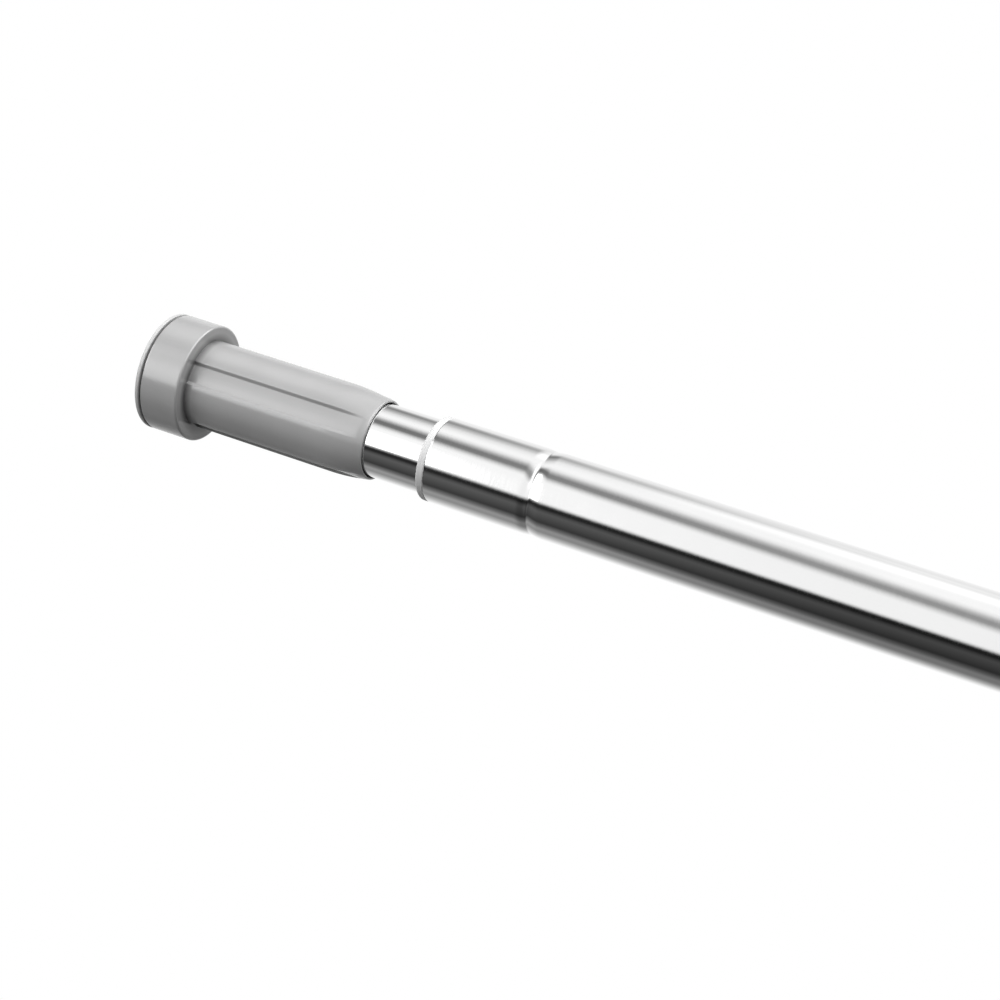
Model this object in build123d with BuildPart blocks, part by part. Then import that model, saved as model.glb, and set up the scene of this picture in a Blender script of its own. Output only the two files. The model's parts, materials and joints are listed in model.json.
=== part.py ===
"""Telescopic doorway pull-up bar: a main tube that turns, with an end that screws out at each side.

The frame: the origin is the middle of the bar on its axis, +X runs along the bar, +Z is up. All sizes are in
millimetres. The left end (-X) is drawn, and the right end is its mirror image, so that the two spindles have
threads of opposite hand. Every profile is drawn as (distance along X, radius) and turned about the X axis.
"""

import os
from math import radians, sin

from build123d import *

# Lengths along the bar, all as positive distances from the middle
main_half_length = 250.0
bar_half_length = 369.9  # from the middle to the face of the wall pad, as drawn
retract_travel = 20.0  # how far each end can still go in
extend_travel = 130.0  # how far each end can still come out
stop_gap = 0.5  # what is left between a stop and what meets it at the end of its travel

# Tubes
main_radius = 16.0
main_wall = 1.0
inner_radius = 14.0
inner_wall = 1.2
inner_tube_end = 60.0
tube_edge = 0.4
running_gap = 0.05  # radial clearance of what slides or turns
fixed_gap = 0.03  # radial clearance of what is held in place

# Rolled grooves in the main tube
groove_depth = 0.5
groove_width = 9.0
bush_groove_inset = 42.0  # from the mouth of the main tube
anchor_groove = 25.0  # from the middle

# Wall pad, from its front face inwards
pad_radius = 22.5
pad_rim = 1.5
pad_neck_radius = 21.0
pad_neck = 1.1
pad_spigot_radius = 19.0
pad_spigot = 1.0
pad_edge = 0.5

# End fitting, as depths from the front face of the wall pad
drum_front = pad_rim + pad_neck
drum_back = 18.5
drum_radius = 22.5
drum_lip = 0.8
drum_floor = 2.6
disc_front = drum_front + pad_spigot
disc_thickness = 2.0
disc_radius = 19.6
web_front = disc_front + disc_thickness
web_thickness = 3.0
web_back = web_front + web_thickness
sleeve_mouth = 94.0
lobe_radius = 17.0
floor_radius = 15.5
mouth_radius = 15.2
taper_length = 17.0
mouth_edge = 0.4
mouth_relief = 5.0
mouth_relief_radius = 14.5
channel_count = 4
channel_turn = 41.5  # angle of a channel, up from the back (+Y) side
channel_spread = 28.0  # angle that a channel takes of the sleeve
channel_round = 0.6
pocket_outer = 20.0
pocket_inner = 17.4
pocket_back = drum_back - drum_floor
rib_count = 8
rib_width = 1.8

# Fastening of the fitting to the inner tube
plug_length = 24.0
screw_radius = 3.0
screw_hole = 3.3
screw_end = web_back + 18.0
screw_head_radius = 5.5
screw_head = 1.3
screw_head_round = 0.5
screw_cross = 5.0
screw_cross_width = 1.0
screw_cross_depth = 0.8
washer_radius = 6.2
washer_thickness = 0.6
disc_hole = 7.0
pin_radius = 2.0
pin_recess = 0.2  # how far a pin's end is below the surface round it
plug_pin_depth = web_back + 21.0

# Drive: nut, spindle, stops and anchor, as distances from the middle
nut_flange = 3.0
nut_length = 24.0
nut_pin_place = inner_tube_end + 14.0
nut_pin_gap = 1.0  # from the thread's crests
thread_crest = 7.0
thread_root = 5.9
thread_pitch = 2.5
crest_start, crest_end, ridge_end = 0.25, 0.60, 0.85  # shares of the pitch, from the foot of a ridge
thread_runout = 1.0
shank_radius = 6.0
shank_end = 12.0
stop_inner = inner_tube_end + nut_length + extend_travel + stop_gap
stop_thickness = 2.0
stop_radius = 11.0
journal_radius = 4.5
circlip_thickness = 1.0
circlip_radius = 7.0
circlip_slot = 4.0
circlip_opening = 5.0
spindle_tip = 3.0
spindle_chamfer = 0.8
spindle_end = stop_inner + stop_thickness + circlip_thickness + spindle_tip
anchor_half_length = inner_tube_end - nut_flange - retract_travel - stop_gap
anchor_waist_radius = 10.0
anchor_waist = 13.0
anchor_pin_place = 19.0

# Guide bush
bush_flange = 3.1
bush_flange_radius = 15.9
bush_barrel = 50.0
bush_edge = 0.7
bush_back_edge = 0.2
bush_slot_margin = 0.3


def turned(points):
    """The disc or ring that a closed outline of (distance along X, radius) points sweeps round the X axis."""
    with BuildPart() as ring:
        with BuildSketch(Plane.XY):
            with BuildLine():
                Polyline(*points, close=True)
            make_face()
        revolve(axis=Axis.X)
    return ring.part


def from_pad(depth):
    """X of a place at this depth from the face of the left wall pad."""
    return depth - bar_half_length


def cross_plane(x):
    """The plane across the bar at x, with its own X axis along +Y and its normal towards +X."""
    return Plane(origin=(x, 0, 0), x_dir=(0, 1, 0), z_dir=(1, 0, 0))


def rolled_dip(x, radius, depth):
    """A rolled groove in a surface of this radius: two arcs that leave it without a corner and meet at the foot."""
    half = groove_width / 2
    arc = (half**2 + depth**2) / (2 * depth)
    RadiusArc((x - half, radius), (x, radius - depth), arc)
    RadiusArc((x, radius - depth), (x + half, radius), arc)


def grooved_line(start, end, radius, places, depth):
    """A line along X from start to end at this radius, dipping at each rolled groove on the way."""
    half = groove_width / 2
    at = start
    towards = 1 if end > start else -1
    for x in sorted(places, reverse=towards < 0):
        Line((at, radius), (x - towards * half, radius))
        rolled_dip(x, radius, depth)
        at = x + towards * half
    Line((at, radius), (end, radius))


def make_main_tube():
    bush_groove = main_half_length - bush_groove_inset
    places = (-bush_groove, -anchor_groove, anchor_groove, bush_groove)
    bore = main_radius - main_wall
    end = main_half_length
    with BuildPart() as tube:
        with BuildSketch(Plane.XY):
            with BuildLine():
                grooved_line(-end + tube_edge, end - tube_edge, main_radius, places, groove_depth)
                Line((end - tube_edge, main_radius), (end, main_radius - tube_edge))
                Line((end, main_radius - tube_edge), (end, bore))
                grooved_line(end, -end, bore, places, groove_depth)
                Line((-end, bore), (-end, main_radius - tube_edge))
                Line((-end, main_radius - tube_edge), (-end + tube_edge, main_radius))
            make_face()
        revolve(axis=Axis.X)
    return tube.part


def make_centre_anchor():
    """A spool that both spindles are pinned into, with a groove in each land for the tube's rolled groove."""
    land = main_radius - main_wall - fixed_gap
    end = anchor_half_length
    with BuildPart() as anchor:
        with BuildSketch(Plane.XY):
            with BuildLine():
                grooved_line(-end, -anchor_waist, land, (-anchor_groove,), groove_depth)
                Line((-anchor_waist, land), (-anchor_waist, anchor_waist_radius))
                Line((-anchor_waist, anchor_waist_radius), (anchor_waist, anchor_waist_radius))
                Line((anchor_waist, anchor_waist_radius), (anchor_waist, land))
                grooved_line(anchor_waist, end, land, (anchor_groove,), groove_depth)
                Line((end, land), (end, 0))
                Line((end, 0), (-end, 0))
                Line((-end, 0), (-end, land))
            make_face()
        revolve(axis=Axis.X)
        for x, towards in ((-end, 1), (end, -1)):
            with BuildSketch(cross_plane(x)):
                Circle(shank_radius + fixed_gap)
            extrude(amount=towards * (end - shank_end + stop_gap), mode=Mode.SUBTRACT)
        with BuildSketch(Plane.XY):
            with Locations((-anchor_pin_place, 0), (anchor_pin_place, 0)):
                Circle(pin_radius + fixed_gap)
        extrude(amount=main_radius, both=True, mode=Mode.SUBTRACT)
    return anchor.part


def make_anchor_pins():
    half = main_radius - main_wall - fixed_gap - pin_recess
    with BuildPart() as pins:
        with BuildSketch(Plane.XY):
            with Locations((-anchor_pin_place, 0), (anchor_pin_place, 0)):
                Circle(pin_radius)
        extrude(amount=half, both=True)
    return pins.part


def thread_points(start, end):
    """Corners of the thread's ridges from start to end, with a flat crest and a flat root on each."""
    count = int(abs(end - start) / thread_pitch)
    step = thread_pitch if end > start else -thread_pitch
    points = []
    for ridge in range(count):
        x = start + ridge * step
        points.append((x, thread_root))
        points.append((x + crest_start * step, thread_crest))
        points.append((x + crest_end * step, thread_crest))
        points.append((x + ridge_end * step, thread_root))
    return points


def make_spindle():
    """The left screw: a shank in the anchor, the thread, and a journal for the stop washer and its circlip."""
    thread_start = -anchor_half_length - thread_runout
    thread_end = -stop_inner + thread_runout
    journal_groove = -(stop_inner + stop_thickness)
    points = [(-shank_end, 0), (-shank_end, shank_radius), (thread_start, shank_radius)]
    points += thread_points(thread_start, thread_end)
    points += [
        (-stop_inner, thread_root),
        (-stop_inner, journal_radius),
        (journal_groove, journal_radius),
        (journal_groove, circlip_slot),
        (journal_groove - circlip_thickness, circlip_slot),
        (journal_groove - circlip_thickness, journal_radius),
        (-spindle_end + spindle_chamfer, journal_radius),
        (-spindle_end, journal_radius - spindle_chamfer),
        (-spindle_end, 0),
    ]
    with BuildPart() as spindle:
        with BuildSketch(Plane.XY):
            with BuildLine():
                Polyline(*points, close=True)
            make_face()
        revolve(axis=Axis.X)
        with BuildSketch(Plane.XY):
            with Locations((-anchor_pin_place, 0)):
                Circle(pin_radius + fixed_gap)
        extrude(amount=main_radius, both=True, mode=Mode.SUBTRACT)
    return spindle.part


def make_stop_washer():
    bore = journal_radius + fixed_gap
    outer = -(stop_inner + stop_thickness) + running_gap
    inner = -stop_inner - running_gap
    return turned([(outer, bore), (outer, stop_radius), (inner, stop_radius), (inner, bore)])


def make_stop_circlip():
    """An open ring that snaps into the journal's slot."""
    x = -(stop_inner + stop_thickness + circlip_thickness) + running_gap
    with BuildPart() as circlip:
        with BuildSketch(cross_plane(x)):
            Circle(circlip_radius)
            Circle(circlip_slot + fixed_gap, mode=Mode.SUBTRACT)
            with Locations((0, -circlip_radius)):
                Rectangle(circlip_opening, circlip_radius, mode=Mode.SUBTRACT)
        extrude(amount=circlip_thickness - 2 * running_gap)
    return circlip.part


def make_drive_nut():
    """A flanged nut on the inner end of the inner tube. Its bore is clear of the spindle's crests."""
    seat = inner_radius - inner_wall - fixed_gap
    bore = thread_crest + running_gap
    inner = -inner_tube_end + nut_flange
    with BuildPart() as nut:
        with BuildSketch(Plane.XY):
            with BuildLine():
                Polyline(
                    (-inner_tube_end - nut_length, bore),
                    (-inner_tube_end - nut_length, seat),
                    (-inner_tube_end, seat),
                    (-inner_tube_end, inner_radius),
                    (inner, inner_radius),
                    (inner, bore),
                    close=True,
                )
            make_face()
        revolve(axis=Axis.X)
        with BuildSketch(Plane.XY):
            with Locations((-nut_pin_place, 0)):
                Circle(pin_radius + fixed_gap)
        extrude(amount=main_radius, both=True, mode=Mode.SUBTRACT)
    return nut.part


def make_nut_pins():
    """Two short pins, through the wall of the inner tube into the nut, above and below the spindle."""
    outer = inner_radius - pin_recess
    inner = thread_crest + nut_pin_gap
    with BuildPart() as pins:
        for side in (1, -1):
            with BuildSketch(Plane.XY.offset(side * outer)):
                with Locations((-nut_pin_place, 0)):
                    Circle(pin_radius)
            extrude(amount=-side * (outer - inner))
    return pins.part


def make_inner_tube():
    bore = inner_radius - inner_wall
    outer = from_pad(web_back)
    with BuildPart() as tube:
        with BuildSketch(Plane.XY):
            with BuildLine():
                Polyline(
                    (outer, bore),
                    (outer, inner_radius),
                    (-inner_tube_end, inner_radius),
                    (-inner_tube_end, bore),
                    close=True,
                )
            make_face()
        revolve(axis=Axis.X)
        with BuildSketch(Plane.XY):
            with Locations((-nut_pin_place, 0), (from_pad(plug_pin_depth), 0)):
                Circle(pin_radius + fixed_gap)
        extrude(amount=main_radius, both=True, mode=Mode.SUBTRACT)
    return tube.part


def make_tube_plug():
    """The round block in the outer end of the inner tube that the end screw bites into."""
    seat = inner_radius - inner_wall - fixed_gap
    with BuildPart() as plug:
        with BuildSketch(cross_plane(from_pad(web_back))):
            Circle(seat)
            Circle(screw_radius + fixed_gap, mode=Mode.SUBTRACT)
        extrude(amount=plug_length)
        with BuildSketch(Plane.XY):
            with Locations((from_pad(plug_pin_depth), 0)):
                Circle(pin_radius + fixed_gap)
        extrude(amount=main_radius, both=True, mode=Mode.SUBTRACT)
    return plug.part


def make_plug_pin():
    with BuildPart() as pin:
        with BuildSketch(Plane.XY):
            with Locations((from_pad(plug_pin_depth), 0)):
                Circle(pin_radius)
        extrude(amount=inner_radius - pin_recess, both=True)
    return pin.part


def make_end_screw():
    """A pan-head screw with a cross recess, its head in the hole of the pressure disc."""
    seat = web_front - washer_thickness
    front = seat - screw_head
    with BuildPart() as screw:
        with BuildSketch(cross_plane(from_pad(front))):
            Circle(screw_head_radius)
        extrude(amount=screw_head)
        with BuildSketch(cross_plane(from_pad(seat))):
            Circle(screw_radius)
        extrude(amount=screw_end - seat)
        fillet(screw.edges().filter_by(GeomType.CIRCLE).group_by(Axis.X)[0], screw_head_round)
        with BuildSketch(cross_plane(from_pad(front))):
            Rectangle(screw_cross, screw_cross_width)
            Rectangle(screw_cross_width, screw_cross)
        extrude(amount=screw_cross_depth, mode=Mode.SUBTRACT)
    return screw.part


def make_screw_washer():
    with BuildPart() as washer:
        with BuildSketch(cross_plane(from_pad(web_front - washer_thickness))):
            Circle(washer_radius)
            Circle(screw_radius + fixed_gap, mode=Mode.SUBTRACT)
        extrude(amount=washer_thickness)
    return washer.part


def make_pressure_disc():
    with BuildPart() as disc:
        with BuildSketch(cross_plane(from_pad(disc_front))):
            Circle(disc_radius)
            Circle(disc_hole, mode=Mode.SUBTRACT)
        extrude(amount=disc_thickness)
    return disc.part


def make_wall_pad():
    """A disc with a rounded rim, a narrower neck that makes the dark groove, and a spigot in the drum."""
    rim_back = from_pad(pad_rim)
    with BuildPart() as pad:
        with BuildSketch(cross_plane(from_pad(0))):
            Circle(pad_radius)
        extrude(amount=pad_rim)
        fillet(pad.edges().filter_by(GeomType.CIRCLE), pad_edge)
        with BuildSketch(cross_plane(rim_back)):
            Circle(pad_neck_radius)
        extrude(amount=pad_neck)
        with BuildSketch(cross_plane(rim_back + pad_neck)):
            Circle(pad_spigot_radius)
        extrude(amount=pad_spigot)
    return pad.part


def make_end_fitting():
    """The grey moulding: a drum cored from its front face, and a sleeve with four lobes and four channels."""
    front = from_pad(drum_front)
    back = from_pad(drum_back)
    mouth = from_pad(sleeve_mouth)
    channel_width = 2 * floor_radius * sin(radians(channel_spread / 2))
    taper_run = taper_length - mouth_edge
    taper_drop = lobe_radius - mouth_radius
    taper_arc = (taper_run**2 + taper_drop**2) / (2 * taper_drop)  # leaves the lobes without a corner
    outside = (lobe_radius + drum_radius) / 2  # any radius between the sleeve and the drum's rim
    with BuildPart() as fitting:
        # the sleeve's section: lobes with rounded shoulders, and the floors of the channels between them
        with BuildSketch(cross_plane(back)) as section:
            Circle(lobe_radius)
            with PolarLocations(lobe_radius, channel_count, start_angle=channel_turn):
                Rectangle(lobe_radius, channel_width, mode=Mode.SUBTRACT)
            Circle(floor_radius)
            fillet(section.vertices(), channel_round)
        extrude(amount=sleeve_mouth - drum_back)
        with BuildSketch(cross_plane(front)):
            Circle(drum_radius)
        extrude(amount=drum_back - drum_front)

        # the turned outline rounds the drum's rim and tapers the sleeve to its mouth
        with BuildSketch(Plane.XY):
            with BuildLine():
                Polyline((mouth, 0), (front, 0), (front, drum_radius), (back - drum_lip, drum_radius))
                RadiusArc((back - drum_lip, drum_radius), (back, drum_radius - drum_lip), drum_lip)
                Polyline(
                    (back, drum_radius - drum_lip),
                    (back, outside),
                    (mouth - taper_length, outside),
                    (mouth - taper_length, lobe_radius),
                )
                RadiusArc((mouth - taper_length, lobe_radius), (mouth - mouth_edge, mouth_radius), taper_arc)
                Polyline((mouth - mouth_edge, mouth_radius), (mouth, mouth_radius - mouth_edge), (mouth, 0))
            make_face()
        revolve(axis=Axis.X, mode=Mode.INTERSECT)

        # the seat of the inner tube, its wider mouth, the screw hole and the recess for pad and pressure disc
        for start, end, radius in (
            (web_back, sleeve_mouth, inner_radius + fixed_gap),
            (sleeve_mouth - mouth_relief, sleeve_mouth, mouth_relief_radius),
            (web_front, web_back, screw_hole),
            (drum_front, web_front, pocket_outer),
        ):
            with BuildSketch(cross_plane(from_pad(start))):
                Circle(radius)
            extrude(amount=end - start, mode=Mode.SUBTRACT)

        # coring between the hub and the drum's wall, with ribs across it
        with BuildSketch(cross_plane(from_pad(web_front))):
            Circle(pocket_outer)
            Circle(pocket_inner, mode=Mode.SUBTRACT)
            with PolarLocations(pocket_outer, rib_count):
                Rectangle(pocket_outer, rib_width, mode=Mode.SUBTRACT)
        extrude(amount=pocket_back - web_front, mode=Mode.SUBTRACT)
    return fitting.part


def make_guide_bush():
    """The plastic bearing between the tubes: a flange on the main tube's mouth and a barrel inside it."""
    mouth = -main_half_length
    front = mouth - bush_flange
    bore = inner_radius + running_gap
    barrel = main_radius - main_wall - running_gap
    groove = mouth + bush_groove_inset
    barrel_end = mouth + bush_barrel
    half = groove_width / 2 + bush_slot_margin
    floor = barrel - groove_depth - running_gap
    round_start = (front + bush_edge, bush_flange_radius)
    round_end = (front, bush_flange_radius - bush_edge)
    with BuildPart() as bush:
        with BuildSketch(Plane.XY):
            with BuildLine():
                Polyline(
                    (groove - half, floor),
                    (groove - half, barrel),
                    (mouth, barrel),
                    (mouth, bush_flange_radius - bush_back_edge),
                    (mouth - bush_back_edge, bush_flange_radius),
                    round_start,
                )
                RadiusArc(round_start, round_end, -bush_edge)
                Polyline(
                    round_end,
                    (front, bore),
                    (barrel_end, bore),
                    (barrel_end, barrel),
                    (groove + half, barrel),
                    (groove + half, floor),
                    (groove - half, floor),
                )
            make_face()
        revolve(axis=Axis.X)
    return bush.part


def save(solid, name):
    solid.label = name
    export_step(solid, f"parts/{name}.step")


middle_pieces = {
    "main_tube": make_main_tube,
    "centre_anchor": make_centre_anchor,
    "anchor_pins": make_anchor_pins,
}
end_pieces = {
    "wall_pad": make_wall_pad,
    "pressure_disc": make_pressure_disc,
    "end_screw": make_end_screw,
    "screw_washer": make_screw_washer,
    "end_fitting": make_end_fitting,
    "tube_plug": make_tube_plug,
    "plug_pin": make_plug_pin,
    "inner_tube": make_inner_tube,
    "drive_nut": make_drive_nut,
    "nut_pins": make_nut_pins,
    "guide_bush": make_guide_bush,
    "spindle": make_spindle,
    "stop_washer": make_stop_washer,
    "stop_circlip": make_stop_circlip,
}

os.makedirs("parts", exist_ok=True)
for name, make in middle_pieces.items():
    save(make(), name)
for name, make in end_pieces.items():
    left = make()
    save(left, f"left_{name}")
    save(mirror(left, about=Plane.YZ), f"right_{name}")
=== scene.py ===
"""Looks of the telescopic doorway pull-up bar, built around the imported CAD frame. Lengths are in metres."""

import functools
import json
import math

import bpy
from mathutils import Matrix, Vector


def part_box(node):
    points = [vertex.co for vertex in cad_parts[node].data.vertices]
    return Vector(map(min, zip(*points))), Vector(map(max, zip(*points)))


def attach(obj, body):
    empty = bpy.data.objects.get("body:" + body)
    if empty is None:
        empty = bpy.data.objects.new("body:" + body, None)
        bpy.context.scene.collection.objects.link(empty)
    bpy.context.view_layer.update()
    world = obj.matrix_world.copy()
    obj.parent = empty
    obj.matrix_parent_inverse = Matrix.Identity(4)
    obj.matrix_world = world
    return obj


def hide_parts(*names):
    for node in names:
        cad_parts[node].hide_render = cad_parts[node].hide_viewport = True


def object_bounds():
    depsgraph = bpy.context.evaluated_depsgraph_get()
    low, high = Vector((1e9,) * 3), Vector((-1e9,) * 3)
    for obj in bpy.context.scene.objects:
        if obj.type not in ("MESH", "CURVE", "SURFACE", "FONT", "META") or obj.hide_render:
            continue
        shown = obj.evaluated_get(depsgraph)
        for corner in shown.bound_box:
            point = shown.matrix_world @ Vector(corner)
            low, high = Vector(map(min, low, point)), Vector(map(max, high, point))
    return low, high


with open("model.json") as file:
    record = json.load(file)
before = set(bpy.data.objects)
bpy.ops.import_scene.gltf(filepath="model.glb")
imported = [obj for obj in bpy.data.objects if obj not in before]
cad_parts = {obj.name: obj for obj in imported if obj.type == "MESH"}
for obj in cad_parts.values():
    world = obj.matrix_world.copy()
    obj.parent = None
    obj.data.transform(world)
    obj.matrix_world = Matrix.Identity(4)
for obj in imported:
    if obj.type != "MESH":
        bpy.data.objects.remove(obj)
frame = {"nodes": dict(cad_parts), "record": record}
cad_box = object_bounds()

MM = 0.001
SIDES = {"left": -1, "right": 1}  # the sign of X
ROUND_STEPS = 6  # straight pieces in each rounded corner of a turned outline
TURN_STEPS = 216  # columns round a turned piece

# Walls and edges that the boxes of the CAD nodes don't tell
TUBE_WALL = 1.0 * MM
INNER_WALL = 1.2 * MM
TUBE_EDGE = 0.4 * MM
ROLL_DEPTH = 0.5 * MM
ROLL_WIDTH = 9.0 * MM
ROLL_FOOT = 0.06  # share of half the width that is rounded at the foot
BUSH_ROLL_INSET = 42.0 * MM  # from the mouth of the main tube
ANCHOR_ROLL = 25.0 * MM  # from the middle
BUSH_GAP = 0.05 * MM
BUSH_ROLL_ROOM = 0.2 * MM  # on each side of the rolled groove that holds the bush
BUSH_FLANGE_EDGE = 1.1 * MM
BUSH_EDGE = 0.35 * MM
INNER_CORNER = 0.1 * MM  # rounding of inner corners
TINY = 1e-9

# End fitting, as depths from the face of the wall pad
DRUM_FRONT = 2.6 * MM
DRUM_BACK = 18.5 * MM
SLEEVE_MOUTH = 94.0 * MM
TAPER_LENGTH = 17.0 * MM
WEB_FRONT = 5.6 * MM
WEB_BACK = 8.6 * MM
LOBE_RADIUS = 17.0 * MM
FLOOR_RADIUS = 15.7 * MM
MOUTH_RADIUS = 15.2 * MM
SEAT_GAP = 0.03 * MM
SEAM_ROUNDING = 0.08 * MM  # where the sleeve leaves the drum
DRUM_FRONT_EDGE = 0.3 * MM
DRUM_BACK_EDGE = 0.8 * MM
MOUTH_EDGE = 0.4 * MM
RECESS_RADIUS = 20.0 * MM
RECESS_CORNER = 0.15 * MM
SCREW_HOLE = 3.3 * MM
CHANNELS = 4
CHANNEL_TURN = math.radians(41.5)  # up from the back (+Y) side, at the left end
FLOOR_HALF_ANGLE = math.radians(11.6)
SHOULDER_HALF_ANGLE = math.radians(15.9)
MOUTH_RELIEF = 5.0 * MM
MOUTH_RELIEF_RADIUS = 14.5 * MM

# Wall pad
PAD_RIM = 1.5 * MM
PAD_NECK = 1.1 * MM
PAD_NECK_RADIUS = 21.0 * MM
PAD_SPIGOT_RADIUS = 19.0 * MM
PAD_EDGE = 0.55 * MM
PAD_BACK_EDGE = 0.33 * MM
PAD_CORNER = 0.12 * MM
PAD_HUB = 0.02 * MM  # radius of the tiny hole that the turned mesh has on its axis

# Camera, as it stands to the left half of the bar
VIEW_AZIMUTH = 28.08
VIEW_ELEVATION = 38.25
VIEW_DISTANCE = 0.9156
VIEW_LENS = 92.3
AIM_INSET = 148.8 * MM  # from the left wall pad's face to the point looked at
AIM_OFFSET = Vector((0, -10.2 * MM, -0.5 * MM))
SENSOR_WIDTH = 36.0

# White floor, below the bar
FLOOR_DROP = 0.9
FLOOR_HALF_WIDTH = 12.0


# ---------------------------------------------------------------- turned outlines


def rounded(corners):
    """A closed outline of (x, radius) points from (x, radius, rounding) corners, each of them rounded."""
    outline = []
    count = len(corners)
    for i, (x, r, rounding) in enumerate(corners):
        here = Vector((x, r))
        before = Vector(corners[i - 1][:2])
        after = Vector(corners[(i + 1) % count][:2])
        to_before = (before - here).normalized()
        to_after = (after - here).normalized()
        half_turn = to_before.angle(to_after) / 2
        if rounding == 0 or half_turn > math.radians(89.5):
            outline.append(here)
            continue
        reach = rounding / math.tan(half_turn)
        centre = here + (to_before + to_after).normalized() * (rounding / math.sin(half_turn))
        start = here + to_before * reach - centre
        end = here + to_after * reach - centre
        swing = start.angle_signed(end)
        for k in range(ROUND_STEPS + 1):
            turn = Matrix.Rotation(-swing * k / ROUND_STEPS, 2)
            outline.append(centre + turn @ start)
    return outline


def supported(outline, margin=0.25 * MM, longest=12 * MM):
    """The outline with extra points near the ends of each long run and along it, so that it shades evenly."""
    points = []
    count = len(outline)
    for i, here in enumerate(outline):
        after = outline[(i + 1) % count]
        run = after - here
        points.append(here)
        if run.length < 4 * margin:
            continue
        along = run.normalized() * margin
        inner_start = here + along
        inner_end = after - along
        pieces = max(1, math.ceil((inner_end - inner_start).length / longest))
        for k in range(pieces + 1):
            points.append(inner_start.lerp(inner_end, k / pieces))
    return points


def rolled(outline, places):
    """The outline with a dip at each rolled groove, which starts smoothly and is steepest at its foot."""
    dipped = []
    for point in outline:
        drop = 0.0
        for place in places:
            share = abs(point.x - place) / (ROLL_WIDTH / 2)
            if share < 1:
                rise = math.sqrt(share**2 + ROLL_FOOT**2) / math.sqrt(1 + ROLL_FOOT**2)
                drop = ROLL_DEPTH * (1 - rise) ** 2
        dipped.append(Vector((point.x, point.y - drop)))
    return dipped


def dense_near(outline, places, steps=42):
    """The outline with extra points near each of these places, where a groove will dip its runs along X."""
    points = []
    count = len(outline)
    for i, here in enumerate(outline):
        after = outline[(i + 1) % count]
        points.append(here)
        if abs(after.y - here.y) > TINY:
            continue
        low, high = sorted((here.x, after.x))
        near = [place + ROLL_WIDTH * (k / steps - 0.5) for place in places for k in range(steps + 1)]
        inside = [x for x in near if low < x < high]
        for x in sorted(inside, reverse=after.x < here.x):
            points.append(Vector((x, here.y)))
    return points


def turned(name, rings, angles=None):
    """A closed mesh from rings round the X axis. Each ring is (x, radius) or (x, function of the angle)."""
    angles = angles or [2 * math.pi * k / TURN_STEPS for k in range(TURN_STEPS)]
    columns = len(angles)
    verts = []
    for x, radius in rings:
        for angle in angles:
            r = radius(angle) if callable(radius) else radius
            verts.append((x, r * math.cos(angle), r * math.sin(angle)))
    faces = []
    count = len(rings)
    for i in range(count):
        j = (i + 1) % count
        for k in range(columns):
            m = (k + 1) % columns
            faces.append((i * columns + k, j * columns + k, j * columns + m, i * columns + m))
    mesh = bpy.data.meshes.new(name)
    mesh.from_pydata(verts, [], faces)
    mesh.validate()
    piece = bpy.data.objects.new(name, mesh)
    bpy.context.scene.collection.objects.link(piece)
    face_outwards(mesh)
    mesh.shade_smooth()
    return piece


def face_outwards(mesh):
    """Turns all the faces over if the closed mesh is inside out."""
    volume = 0.0
    mesh.calc_loop_triangles()
    for tri in mesh.loop_triangles:
        a, b, c = (mesh.vertices[v].co for v in tri.vertices)
        volume += a.dot(b.cross(c))
    if volume < 0:
        mesh.flip_normals()


def as_rings(outline):
    """The outline's points as rings of the same radius all round."""
    return [(point.x, point.y) for point in outline]


def stand_in(piece, body, node, material):
    """The piece stands for a CAD node, which is hidden, and takes this material and the node's body."""
    piece.data.materials.append(material)
    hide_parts(node)
    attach(piece, body)


# ---------------------------------------------------------------- materials


def grey(level):
    """A neutral colour."""
    return level, level, level


def shader(name):
    """A new material, its node tree and its Principled shader."""
    material = bpy.data.materials.new(name)
    material.use_nodes = True
    tree = material.node_tree
    return material, tree, tree.nodes["Principled BSDF"]


def noise_in_place(tree, scale, squeeze=(1, 1, 1), detail=3.0):
    """Noise in the piece's own coordinates, in metres, squeezed along each axis. Returns its value socket."""
    coords = tree.nodes.new("ShaderNodeTexCoord")
    mapping = tree.nodes.new("ShaderNodeMapping")
    mapping.inputs["Scale"].default_value = squeeze
    noise = tree.nodes.new("ShaderNodeTexNoise")
    noise.inputs["Scale"].default_value = scale
    noise.inputs["Detail"].default_value = detail
    tree.links.new(coords.outputs["Object"], mapping.inputs["Vector"])
    tree.links.new(mapping.outputs["Vector"], noise.inputs["Vector"])
    return noise.outputs["Fac"]


def ranged(tree, value, low, high, from_low=0.3, from_high=0.7):
    """Maps a value from its own range to low..high. Noise lies mostly in the range that is the default."""
    span = tree.nodes.new("ShaderNodeMapRange")
    span.inputs["From Min"].default_value = from_low
    span.inputs["From Max"].default_value = from_high
    span.inputs["To Min"].default_value = low
    span.inputs["To Max"].default_value = high
    tree.links.new(value, span.inputs["Value"])
    return span.outputs["Result"]


def combined(tree, operation, *values):
    """A math node of sockets and numbers. Returns its value socket."""
    node = tree.nodes.new("ShaderNodeMath")
    node.operation = operation
    for socket, value in zip(node.inputs, values):
        if isinstance(value, (int, float)):
            socket.default_value = value
        else:
            tree.links.new(value, socket)
    return node.outputs["Value"]


def distance_along(tree):
    """Socket of a point's distance from the middle of the bar along X."""
    coords = tree.nodes.new("ShaderNodeTexCoord")
    split = tree.nodes.new("ShaderNodeSeparateXYZ")
    tree.links.new(coords.outputs["Object"], split.inputs["Vector"])
    return combined(tree, "ABSOLUTE", split.outputs["X"])


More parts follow.
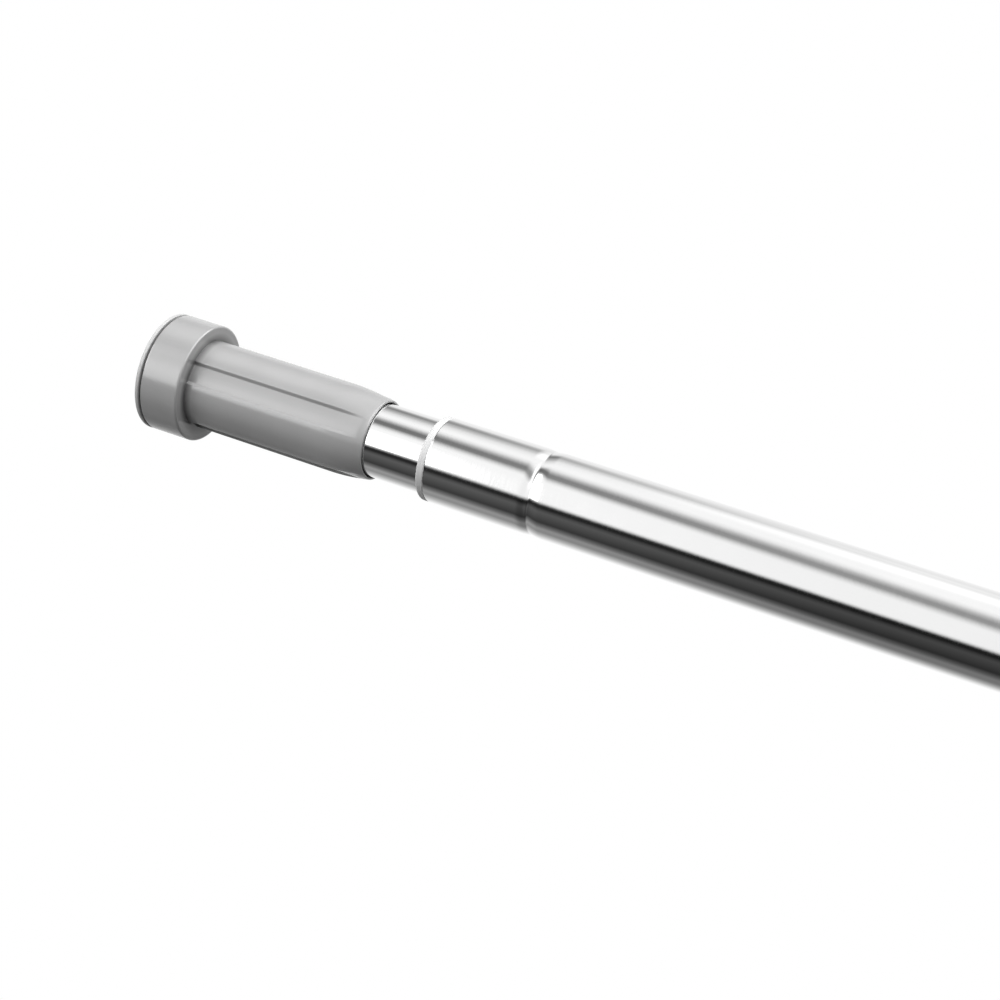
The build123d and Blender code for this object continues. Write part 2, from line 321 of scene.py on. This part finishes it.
def distance_from_axis(tree):
    """Socket of a point's distance from the X axis."""
    coords = tree.nodes.new("ShaderNodeTexCoord")
    flat = tree.nodes.new("ShaderNodeMapping")
    flat.inputs["Scale"].default_value = (0, 1, 1)
    length = tree.nodes.new("ShaderNodeVectorMath")
    length.operation = "LENGTH"
    tree.links.new(coords.outputs["Object"], flat.inputs["Vector"])
    tree.links.new(flat.outputs["Vector"], length.inputs[0])
    return length.outputs["Value"]


def mix_in_painted_shade(tree, clear, deep, colour):
    """The colour of a socket where clear is 1, and this deep tone where it is 0: painted shade, darkening the
    colour where light is hidden.
    """
    shade = tree.nodes.new("ShaderNodeMix")
    shade.data_type = "RGBA"
    shade.inputs["A"].default_value = (*deep, 1)
    tree.links.new(clear, shade.inputs["Factor"])
    tree.links.new(colour, shade.inputs["B"])
    return shade.outputs["Result"]


def two_tone(tree, value, dark, light):
    """A colour between dark and light, led by a noise value."""
    mix = tree.nodes.new("ShaderNodeMix")
    mix.data_type = "RGBA"
    mix.inputs["A"].default_value = (*dark, 1)
    mix.inputs["B"].default_value = (*light, 1)
    tree.links.new(value, mix.inputs["Factor"])
    return mix.outputs["Result"]


def add_bump(tree, bsdf, height, strength, distance):
    """Lets a height socket tilt the surface's normal."""
    bump = tree.nodes.new("ShaderNodeBump")
    bump.inputs["Strength"].default_value = strength
    bump.inputs["Distance"].default_value = distance
    tree.links.new(height, bump.inputs["Height"])
    tree.links.new(bump.outputs["Normal"], bsdf.inputs["Normal"])


def chrome_plate(name, roughness):
    """Bright chrome on a tube that was polished round its axis: faint rings, faint clouds, fine specks."""
    material, tree, bsdf = shader(name)
    bsdf.inputs["Metallic"].default_value = 1.0
    clouds = noise_in_place(tree, scale=38.0)
    tree.links.new(two_tone(tree, clouds, grey(0.90), grey(0.955)), bsdf.inputs["Base Color"])
    rings = noise_in_place(tree, scale=120.0, squeeze=(26, 1, 1), detail=5.0)
    tree.links.new(ranged(tree, rings, roughness * 0.6, roughness * 1.5), bsdf.inputs["Roughness"])
    specks = noise_in_place(tree, scale=700.0, squeeze=(1.6, 1, 1), detail=2.0)
    height = combined(tree, "MULTIPLY_ADD", rings, 0.25, specks)
    add_bump(tree, bsdf, height, strength=0.3, distance=0.02 * MM)
    return material


def moulded(name, dark, light, roughness, corner=None):
    """Moulded plastic: slightly uneven colour, a low orange-peel surface and changing gloss.

    A corner is the (distance along X, radius) of an inner corner all round, towards which the colour is
    darkened as painted shade.
    """
    material, tree, bsdf = shader(name)
    clouds = noise_in_place(tree, scale=60.0)
    colour = two_tone(tree, clouds, dark, light)
    if corner:
        # painted shade: the colour darkens within about 3 mm of the inner corner, standing in for the shadow
        # cast there
        off_along = combined(tree, "SUBTRACT", distance_along(tree), corner[0])
        off_radius = combined(tree, "SUBTRACT", distance_from_axis(tree), corner[1])
        squares = [combined(tree, "POWER", off, 2.0) for off in (off_along, off_radius)]
        distance = combined(tree, "SQRT", combined(tree, "ADD", *squares))
        clear = ranged(tree, distance, 0.25, 1.0, from_low=0.0, from_high=3.0 * MM)
        colour = mix_in_painted_shade(tree, clear, grey(0.02), colour)
    tree.links.new(colour, bsdf.inputs["Base Color"])
    flow = noise_in_place(tree, scale=90.0, squeeze=(0.25, 1, 1), detail=4.0)
    tree.links.new(ranged(tree, flow, roughness * 0.85, roughness * 1.2), bsdf.inputs["Roughness"])
    bsdf.inputs["IOR"].default_value = 1.7
    peel = noise_in_place(tree, scale=900.0, detail=2.0)
    add_bump(tree, bsdf, peel, strength=0.03, distance=0.1 * MM)
    return material


def milky(name):
    """Natural plastic, slightly cloudy."""
    material, tree, bsdf = shader(name)
    clouds = noise_in_place(tree, scale=150.0)
    tree.links.new(two_tone(tree, clouds, grey(0.41), grey(0.47)), bsdf.inputs["Base Color"])
    tree.links.new(ranged(tree, clouds, 0.45, 0.55), bsdf.inputs["Roughness"])
    bsdf.inputs["IOR"].default_value = 1.5
    return material


def soft_rubber(name, dark, light, groove):
    """Smooth rubber-like plastic with a fine grain, and painted shade deep in the groove behind its rim."""
    material, tree, bsdf = shader(name)
    clouds = noise_in_place(tree, scale=80.0)
    # painted shade: the colour darkens inside the groove behind the rim
    radius = distance_from_axis(tree)
    rim = ranged(tree, radius, 0.0, 1.0, PAD_NECK_RADIUS + 0.1 * MM, PAD_NECK_RADIUS + 0.9 * MM)
    colour = mix_in_painted_shade(tree, rim, groove, two_tone(tree, clouds, dark, light))
    tree.links.new(colour, bsdf.inputs["Base Color"])
    tree.links.new(ranged(tree, clouds, 0.42, 0.55), bsdf.inputs["Roughness"])
    grain = noise_in_place(tree, scale=2400.0, detail=2.0)
    add_bump(tree, bsdf, grain, strength=0.15, distance=0.05 * MM)
    return material


def turned_metal(name, dark, light, roughness):
    """Metal off a lathe: fine rings along X and a slightly changing tone."""
    material, tree, bsdf = shader(name)
    bsdf.inputs["Metallic"].default_value = 1.0
    clouds = noise_in_place(tree, scale=70.0)
    tree.links.new(two_tone(tree, clouds, dark, light), bsdf.inputs["Base Color"])
    rings = noise_in_place(tree, scale=200.0, squeeze=(30, 1, 1), detail=4.0)
    tree.links.new(ranged(tree, rings, roughness * 0.7, roughness * 1.3), bsdf.inputs["Roughness"])
    add_bump(tree, bsdf, rings, strength=0.2, distance=0.05 * MM)
    return material


# ---------------------------------------------------------------- pieces


def make_main_tube(material):
    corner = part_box("main_tube")[1]
    half, radius = corner.x, corner.z
    bore = radius - TUBE_WALL
    places = [sign * x for sign in SIDES.values() for x in (half - BUSH_ROLL_INSET, ANCHOR_ROLL)]
    outline = rounded([
        (-half, radius, TUBE_EDGE),
        (half, radius, TUBE_EDGE),
        (half, bore, TUBE_EDGE / 3),
        (-half, bore, TUBE_EDGE / 3),
    ])
    outline = rolled(dense_near(supported(outline), places), places)
    piece = turned("main_tube_chromed", as_rings(outline))
    stand_in(piece, "middle", "main_tube", material)


def make_inner_tube(side, material):
    low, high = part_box(f"{side}_inner_tube")
    radius = high.z
    bore = radius - INNER_WALL
    outline = rounded([
        (low.x, radius, TUBE_EDGE),
        (high.x, radius, TUBE_EDGE),
        (high.x, bore, TUBE_EDGE / 3),
        (low.x, bore, TUBE_EDGE / 3),
    ])
    piece = turned(f"{side}_inner_tube_chromed", as_rings(supported(outline)))
    stand_in(piece, f"{side}_end", f"{side}_inner_tube", material)


def make_guide_bush(side, material):
    sign = SIDES[side]
    low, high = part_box(f"{side}_guide_bush")
    tube_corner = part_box("main_tube")[1]
    tube_end = tube_corner.x
    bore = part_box(f"{side}_inner_tube")[1].z + BUSH_GAP
    barrel = tube_corner.z - TUBE_WALL - BUSH_GAP
    waist = barrel - ROLL_DEPTH - BUSH_GAP
    flange = high.z
    outer = max(abs(low.x), abs(high.x))
    inner = min(abs(low.x), abs(high.x))
    roll = tube_end - BUSH_ROLL_INSET
    half_roll = ROLL_WIDTH / 2 + BUSH_ROLL_ROOM
    corners = [
        (outer, bore, BUSH_EDGE),
        (outer, flange, BUSH_FLANGE_EDGE),
        (tube_end, flange, BUSH_EDGE),
        (tube_end, barrel, INNER_CORNER),
        (roll + half_roll, barrel, INNER_CORNER),
        (roll + half_roll, waist, INNER_CORNER),
        (roll - half_roll, waist, INNER_CORNER),
        (roll - half_roll, barrel, INNER_CORNER),
        (inner, barrel, 2 * INNER_CORNER),
        (inner, bore, 2 * INNER_CORNER),
    ]
    outline = supported(rounded([(sign * x, r, rounding) for x, r, rounding in corners]))
    piece = turned(f"{side}_guide_bush_milky", as_rings(outline))
    stand_in(piece, f"{side}_bush", f"{side}_guide_bush", material)


def make_wall_pad(side, material):
    sign = SIDES[side]
    low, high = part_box(f"{side}_wall_pad")
    face = max(abs(low.x), abs(high.x))
    radius = high.z
    back = min(abs(low.x), abs(high.x))
    rim_back = face - PAD_RIM
    neck_back = rim_back - PAD_NECK
    corners = [
        (face, PAD_HUB, 0),
        (face, radius, PAD_EDGE),
        (rim_back, radius, PAD_BACK_EDGE),
        (rim_back, PAD_NECK_RADIUS, PAD_CORNER),
        (neck_back, PAD_NECK_RADIUS, PAD_CORNER),
        (neck_back, PAD_SPIGOT_RADIUS, PAD_CORNER),
        (back, PAD_SPIGOT_RADIUS, 2 * INNER_CORNER),
        (back, PAD_HUB, 0),
    ]
    outline = supported(rounded([(sign * x, r, rounding) for x, r, rounding in corners]))
    piece = turned(f"{side}_wall_pad_soft", as_rings(outline))
    stand_in(piece, f"{side}_end", f"{side}_wall_pad", material)


def channel_share(angle):
    """1 on the floor of a channel, 0 on a lobe, and a smooth shoulder between."""
    pitch = 2 * math.pi / CHANNELS
    off = abs((angle - CHANNEL_TURN + pitch / 2) % pitch - pitch / 2)
    t = (SHOULDER_HALF_ANGLE - off) / (SHOULDER_HALF_ANGLE - FLOOR_HALF_ANGLE)
    t = min(1.0, max(0.0, t))
    return t * t * (3 - 2 * t)


def fitting_angles():
    """Angles round the fitting: close together on the channels' shoulders, wider apart elsewhere."""
    wall_steps = 12
    lobe_steps = 30
    floor_steps = 12
    pitch = 2 * math.pi / CHANNELS
    margin = math.radians(0.5)
    low, high = FLOOR_HALF_ANGLE - margin, SHOULDER_HALF_ANGLE + margin
    angles = []
    for channel in range(CHANNELS):
        centre = CHANNEL_TURN + channel * pitch
        for start, end, steps in (
            (-high, -low, wall_steps),
            (-low, low, floor_steps),
            (low, high, wall_steps),
            (high, pitch - high, lobe_steps),
        ):
            angles += [centre + start + (end - start) * k / steps for k in range(steps)]
    return angles


def taper_points(steps=22):
    """(depth, radius) points of the arc on which the sleeve falls from its lobes towards its mouth."""
    drop = LOBE_RADIUS - MOUTH_RADIUS
    arc_radius = (TAPER_LENGTH**2 + drop**2) / (2 * drop)
    start = SLEEVE_MOUTH - TAPER_LENGTH
    runs = [TAPER_LENGTH * k / steps for k in range(steps)]
    return [(start + run, LOBE_RADIUS - arc_radius + math.sqrt(arc_radius**2 - run**2)) for run in runs]


def make_end_fitting(side, material):
    sign = SIDES[side]
    face = max(abs(end.x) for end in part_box(f"{side}_wall_pad"))
    drum_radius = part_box(f"{side}_end_fitting")[1].z
    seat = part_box(f"{side}_inner_tube")[1].z + SEAT_GAP
    relief_end = SLEEVE_MOUTH - MOUTH_RELIEF
    corners = [
        (DRUM_FRONT, RECESS_RADIUS, RECESS_CORNER),
        (DRUM_FRONT, drum_radius, DRUM_FRONT_EDGE),
        (DRUM_BACK, drum_radius, DRUM_BACK_EDGE),
        (DRUM_BACK, LOBE_RADIUS, SEAM_ROUNDING),
        *[(depth, radius, 0) for depth, radius in taper_points()],
        (SLEEVE_MOUTH, MOUTH_RADIUS, MOUTH_EDGE),
        (SLEEVE_MOUTH, MOUTH_RELIEF_RADIUS, RECESS_CORNER),
        (relief_end, MOUTH_RELIEF_RADIUS, INNER_CORNER),
        (relief_end, seat, INNER_CORNER),
        (WEB_BACK, seat, INNER_CORNER),
        (WEB_BACK, SCREW_HOLE, INNER_CORNER),
        (WEB_FRONT, SCREW_HOLE, INNER_CORNER),
        (WEB_FRONT, RECESS_RADIUS, RECESS_CORNER),
    ]

    def radius_at(point):
        """The ring's radius by angle. On the sleeve it falls to the channels' floor where that is lower."""
        depth, lobe = point
        past_drum = depth >= DRUM_BACK - TINY
        on_sleeve = FLOOR_RADIUS < lobe <= LOBE_RADIUS + SEAM_ROUNDING + TINY
        if not (past_drum and on_sleeve):
            return lobe
        floor = FLOOR_RADIUS + max(0.0, lobe - LOBE_RADIUS)
        return lambda angle: lobe + (floor - lobe) * channel_share(angle)

    outline = supported(rounded(corners), longest=6 * MM)
    rings = [(sign * (face - point.x), radius_at(point)) for point in outline]
    piece = turned(f"{side}_end_fitting_moulded", rings, fitting_angles())
    stand_in(piece, f"{side}_end", f"{side}_end_fitting", material)


def dress_inner_nodes():
    """Gives the CAD nodes that stay their materials, by the record's slots."""
    by_slot = {
        "steel": turned_metal("zinc_plated_steel", (0.50, 0.51, 0.53), (0.64, 0.65, 0.67), 0.28),
        "spring_steel": turned_metal("oiled_spring_steel", (0.03, 0.03, 0.035), (0.07, 0.07, 0.08), 0.35),
        "brass": turned_metal("turned_brass", (0.62, 0.46, 0.18), (0.78, 0.60, 0.28), 0.25),
        "anchor": turned_metal("turned_aluminium", (0.62, 0.63, 0.65), (0.76, 0.77, 0.78), 0.32),
        "inner_plastic": moulded("black_moulded_plastic", (0.015, 0.015, 0.017), (0.03, 0.03, 0.033), 0.45),
    }
    for row in frame["record"]["subparts"]:
        node = frame["nodes"][row["node"]]
        material = by_slot.get(row["material_slot"])
        if material:
            for slot in node.material_slots:
                slot.material = material


# ---------------------------------------------------------------- studio


def make_camera():
    left_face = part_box("left_wall_pad")[0].x
    aim = Vector((left_face + AIM_INSET, 0, 0)) + AIM_OFFSET
    turn, lift = math.radians(VIEW_AZIMUTH), math.radians(VIEW_ELEVATION)
    back = Vector((math.sin(turn) * math.cos(lift), -math.cos(turn) * math.cos(lift), math.sin(lift)))
    data = bpy.data.cameras.new("camera")
    data.lens = VIEW_LENS
    data.sensor_width = SENSOR_WIDTH
    data.clip_start, data.clip_end = 0.01, 100
    camera = bpy.data.objects.new("camera", data)
    bpy.context.scene.collection.objects.link(camera)
    camera.location = aim + back * VIEW_DISTANCE
    camera.rotation_mode = "QUATERNION"
    camera.rotation_quaternion = (-back).to_track_quat("-Z", "Y")
    bpy.context.scene.camera = camera


# Brightness of the studio round the bar's axis: (degrees, level). 0 is the front, 90 overhead, 180 behind.
# The levels are those at which the tubes mirror the wanted bands.
STUDIO = [
    # white sweep behind and below
    (-180, 0.85), (-157, 0.95), (-121, 0.97),
    # its shadow under the bar
    (-105, 0.78), (-89, 0.51), (-73, 0.275), (-60, 0.32), (-50, 0.16),
    # dark card low in front, darkest at its upper edge
    (-38, 0.042), (-9, 0.105), (-3, 0.07), (3, 0.018), (9, 0.022),
    # soft box in front
    (12, 0.19), (16, 0.7), (20, 1.0), (66, 1.0),
    # gap overhead
    (71, 0.86), (75, 0.69), (83, 0.32), (91, 0.30), (99, 0.51), (108, 0.86),
    # soft box overhead and behind
    (116, 1.0), (140, 1.0),
    # dimmer gap before the sweep
    (147, 0.86), (161, 0.57), (172, 0.70), (180, 0.85),
]
FAR_LEFT = 0.08  # share of that brightness straight to the left
FAR_RIGHT = 0.25  # and straight to the right
SKEW = 60.0  # degrees per unit of X by which the gap overhead leans
# Brighter panels, as (level, soft edges in degrees, soft edges in X), where X goes from -1 at the left to 1
PANELS = [
    # low in front, left of the middle
    (2.2, ((14, 20), (35, 68)), ((-0.75, -0.6), (-0.44, -0.38))),
    # high in front, all of the left
    (6.5, ((25, 45), (75, 95)), ((-1.2, -1.1), (-0.65, -0.5))),
    # overhead, to the right, and fading down the front
    (4.8, ((30, 95), (145, 170)), ((-0.12, 0.1), (0.5, 0.8))),
]


def make_studio():
    """Soft boxes and dark cards along the bar, as a sky whose brightness depends on the angle round X."""
    world = bpy.data.worlds.new("studio")
    bpy.context.scene.world = world
    world.use_nodes = True
    tree = world.node_tree
    tree.nodes.clear()

    def product(*values):
        return functools.reduce(functools.partial(combined, tree, "MULTIPLY"), values)

    def total(*values):
        return functools.reduce(functools.partial(combined, tree, "ADD"), values)

    def smooth_step(value, start, end, before, after):
        node = tree.nodes.new("ShaderNodeMapRange")
        node.interpolation_type = "SMOOTHSTEP"
        for name, setting in (("From Min", start), ("From Max", end), ("To Min", before), ("To Max", after)):
            node.inputs[name].default_value = setting
        tree.links.new(value, node.inputs["Value"])
        return node.outputs["Result"]

    def window(value, rise, fall):
        """1 between two soft edges and 0 past them."""
        return product(smooth_step(value, *rise, 0.0, 1.0), smooth_step(value, *fall, 1.0, 0.0))

    coords = tree.nodes.new("ShaderNodeTexCoord")
    split = tree.nodes.new("ShaderNodeSeparateXYZ")
    tree.links.new(coords.outputs["Generated"], split.inputs["Vector"])
    along = split.outputs["X"]
    angle = combined(tree, "ARCTAN2", split.outputs["Z"], product(split.outputs["Y"], -1.0))
    degrees = product(angle, 180 / math.pi)

    ramp = tree.nodes.new("ShaderNodeValToRGB")
    elements = ramp.color_ramp.elements
    while len(elements) < len(STUDIO):
        elements.new(0.5)
    for element, (place_round, level) in zip(elements, STUDIO):
        element.position = place_round / 360 + 0.5
        element.color = (*grey(level), 1)

    # the gap overhead leans with X, is deeper at the left, and the light behind grows towards the right
    lean = product(combined(tree, "MINIMUM", total(along, 0.33), 0.55), SKEW)
    leaning = total(degrees, product(lean, window(degrees, (30, 60), (105, 130))))
    tree.links.new(combined(tree, "MULTIPLY_ADD", leaning, 1 / 360, 0.5), ramp.inputs["Fac"])
    deeper = product(window(leaning, (71, 83), (91, 105)), smooth_step(along, -0.45, -0.25, -0.14, 0.0))
    behind = product(window(degrees, (122, 148), (165, 182)), smooth_step(along, -0.45, -0.2, -0.37, 0.3))

    # just left of the middle the front is a little darker, and what is below it much darker
    front = product(0.06, window(degrees, (14, 20), (60, 75)))
    below = product(0.42, window(degrees, (-110, -60), (5, 14)))
    fading = product(total(front, below), window(along, (-0.42, -0.2), (-0.15, 0.0)), -1.0)
    bands = combined(tree, "MULTIPLY_ADD", ramp.outputs["Color"], fading, ramp.outputs["Color"])

    left_end = smooth_step(along, -0.8, -0.55, FAR_LEFT, 1.0)
    right_end = smooth_step(along, 0.15, 0.8, 1.0, FAR_RIGHT)
    base = product(total(bands, deeper, behind), product(left_end, right_end))
    panels = [
        product(level, window(degrees, *round_edges), window(along, *along_edges))
        for level, round_edges, along_edges in PANELS
    ]
    sky = tree.nodes.new("ShaderNodeBackground")
    sky.inputs["Color"].default_value = (1, 1, 1, 1)
    tree.links.new(total(base, *panels), sky.inputs["Strength"])

    # what the camera itself sees past the floor is plain white
    plain = tree.nodes.new("ShaderNodeBackground")
    plain.inputs["Color"].default_value = (1, 1, 1, 1)
    path = tree.nodes.new("ShaderNodeLightPath")
    mix = tree.nodes.new("ShaderNodeMixShader")
    output = tree.nodes.new("ShaderNodeOutputWorld")
    tree.links.new(path.outputs["Is Camera Ray"], mix.inputs["Fac"])
    tree.links.new(sky.outputs["Background"], mix.inputs[1])
    tree.links.new(plain.outputs["Background"], mix.inputs[2])
    tree.links.new(mix.outputs["Shader"], output.inputs["Surface"])


def make_floor():
    """A plain white floor, well below the bar, that neither lights the bar nor shows in the chrome.

    From below it can be seen through.
    """
    mesh = bpy.data.meshes.new("floor")
    height = cad_box[0].z - FLOOR_DROP
    quarters = ((-1, -1), (1, -1), (1, 1), (-1, 1))
    corners = [(FLOOR_HALF_WIDTH * x, FLOOR_HALF_WIDTH * y, height) for x, y in quarters]
    mesh.from_pydata(corners, [], [(0, 1, 2, 3)])
    floor = bpy.data.objects.new("floor", mesh)
    bpy.context.scene.collection.objects.link(floor)
    material = bpy.data.materials.new("white_floor")
    material.use_nodes = True
    tree = material.node_tree
    tree.nodes.clear()
    glow = tree.nodes.new("ShaderNodeEmission")
    glow.inputs["Color"].default_value = (1, 1, 1, 1)
    clear = tree.nodes.new("ShaderNodeBsdfTransparent")
    side = tree.nodes.new("ShaderNodeNewGeometry")
    mix = tree.nodes.new("ShaderNodeMixShader")
    output = tree.nodes.new("ShaderNodeOutputMaterial")
    tree.links.new(side.outputs["Backfacing"], mix.inputs["Fac"])
    tree.links.new(glow.outputs["Emission"], mix.inputs[1])
    tree.links.new(clear.outputs["BSDF"], mix.inputs[2])
    tree.links.new(mix.outputs["Shader"], output.inputs["Surface"])
    mesh.materials.append(material)
    floor.visible_diffuse = False
    floor.visible_glossy = False
    floor.visible_transmission = False
    floor.visible_shadow = False


def main():
    bpy.context.scene.view_settings.view_transform = "Standard"
    make_camera()
    make_studio()
    make_floor()

    outer_chrome = chrome_plate("chrome_main", 0.07)
    inner_chrome = chrome_plate("chrome_inner", 0.05)
    drum_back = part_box("right_wall_pad")[1].x - DRUM_BACK
    # the corner darkening is painted shade where the sleeve meets the drum's rear face
    plastic = moulded("grey_moulded_plastic", grey(0.24), grey(0.275), 0.15, corner=(drum_back, LOBE_RADIUS))
    # the pad's dark groove tone is painted shade
    pad = soft_rubber("light_grey_pad", grey(0.34), grey(0.39), groove=grey(0.11))
    bush = milky("milky_plastic")
    make_main_tube(outer_chrome)
    for side in SIDES:
        make_inner_tube(side, inner_chrome)
        make_guide_bush(side, bush)
        make_wall_pad(side, pad)
        make_end_fitting(side, plastic)
    dress_inner_nodes()


main()
